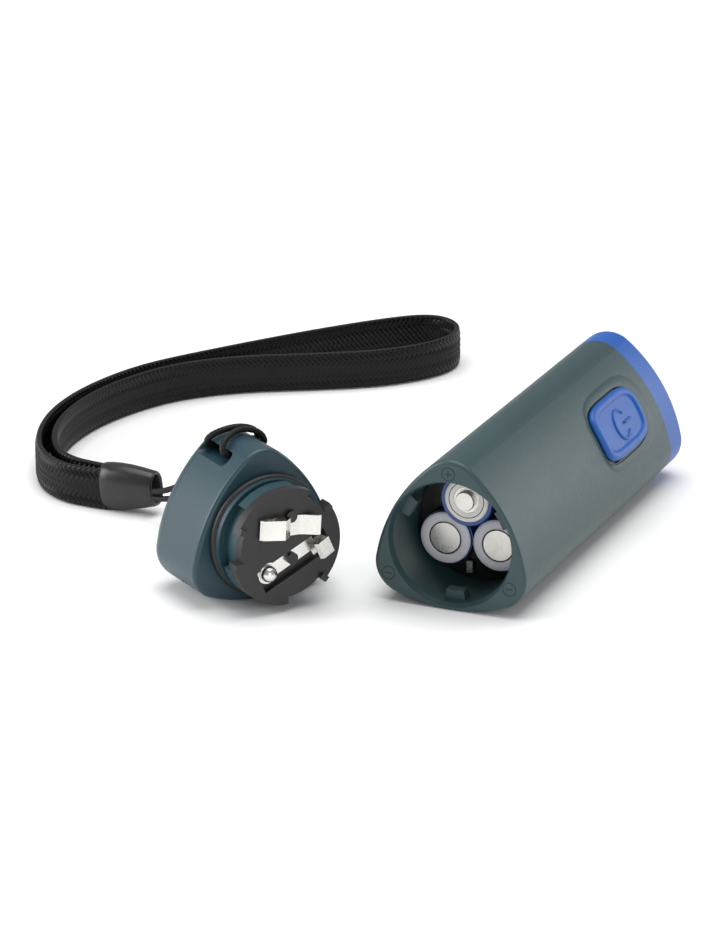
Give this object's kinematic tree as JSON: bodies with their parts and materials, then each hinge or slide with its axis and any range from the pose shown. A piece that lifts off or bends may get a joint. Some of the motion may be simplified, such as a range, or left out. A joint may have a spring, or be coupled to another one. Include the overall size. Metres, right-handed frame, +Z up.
{
  "type": "keychain flashlight",
  "caption": "Open keychain flashlight: rounded-triangle body with blue bezel and button, three cells at its mouth, bayonet tail cap and wrist strap.",
  "frame": {"origin": "on the table plane, in the middle of the flat underside of the torch body", "axes": "+Y along the torch from its open mouth to its lens, +Z up from the flat it lies on, +X to its right"},
  "size_m": [0.1263, 0.1647, 0.0311],
  "materials": {
    "teal_shell": "soft-touch satin moulding",
    "teal_cap": "satin moulding",
    "blue_trim": "satin blue moulding",
    "charcoal_plastic": "matt moulding",
    "black_plastic": "satin moulding",
    "clear_lens": "polished clear",
    "chrome_reflector": "vacuum-metallised",
    "nickel": "nickel-plated spring strip",
    "steel": "zinc-plated",
    "cell_steel": "nickel-plated can",
    "cell_wrap": "heat-shrunk film",
    "aluminium": "machined",
    "board": "solder mask",
    "white_board": "white solder mask",
    "led": "phosphor under silicone",
    "component": "moulded package",
    "black_rubber": "silicone rubber",
    "webbing": "braided polyester",
    "cord": "braided nylon",
    "clasp": "satin moulding"
  },
  "bodies": {
    "torch": {"body_shell": "teal_shell", "front_bezel": "blue_trim", "lens": "clear_lens", "lens_gasket": "black_rubber", "reflector": "chrome_reflector", "led_emitter": "led", "led_board": "white_board", "heat_sink": "aluminium", "driver_board": "board", "driver_components": "component", "switch_board": "board", "tactile_switch": "black_plastic", "battery_holder": "black_plastic", "return_strip": "nickel", "front_contact_plate": "charcoal_plastic", "plate_screws": "steel", "front_leaf_contacts": "nickel", "front_spring": "nickel"},
    "power_button": {"power_button": "blue_trim"},
    "cell_1": {"cell_1_can": "cell_steel", "cell_1_sleeve": "cell_wrap"},
    "cell_2": {"cell_2_can": "cell_steel", "cell_2_sleeve": "cell_wrap"},
    "cell_3": {"cell_3_can": "cell_steel", "cell_3_sleeve": "cell_wrap"},
    "strap": {"wrist_strap": "webbing"},
    "lanyard": {"strap_clasp": "clasp", "o_ring": "black_rubber"},
    "cap": {"tail_cap": "teal_cap", "contact_plate": "charcoal_plastic", "bridge_contact": "nickel", "terminal_contact": "nickel", "contact_rivets": "black_plastic", "wrist_cord": "cord"}
  },
  "joints": [
    {"name": "cap_swing", "type": "hinge", "parent": "torch", "child": "strap", "pos_m": [-0.01616, -0.04634, 0.0128], "axis": [0, 0, 1], "range_deg": [0, 125.5]},
    {"name": "cap_push", "type": "slide", "parent": "strap", "child": "lanyard", "axis": [0.8141, -0.5807, 0], "range_m": [0, 0.01145], "deforming": ["wrist_strap", "bridge_contact", "terminal_contact"]},
    {"name": "cap_twist", "type": "hinge", "parent": "lanyard", "child": "cap", "pos_m": [-0.0273, -0.05825, 0.0128], "axis": [0.8141, -0.5807, 0], "range_deg": [-22, 0], "deforming": ["wrist_cord"]},
    {"name": "button_press", "type": "slide", "parent": "torch", "child": "power_button", "axis": [-0.866, 0, -0.5], "range_m": [0, 0.0005], "stiffness_N_per_m": 600},
    {"name": "cell_1_slide", "type": "slide", "parent": "torch", "child": "cell_1", "axis": [0, 1, 0], "range_m": [-0.055, 0.0025], "deforming": ["front_spring"]},
    {"name": "cell_2_slide", "type": "slide", "parent": "torch", "child": "cell_2", "axis": [0, 1, 0], "range_m": [-0.055, 0]},
    {"name": "cell_3_slide", "type": "slide", "parent": "torch", "child": "cell_3", "axis": [0, 1, 0], "range_m": [-0.055, 0]}
  ]
}
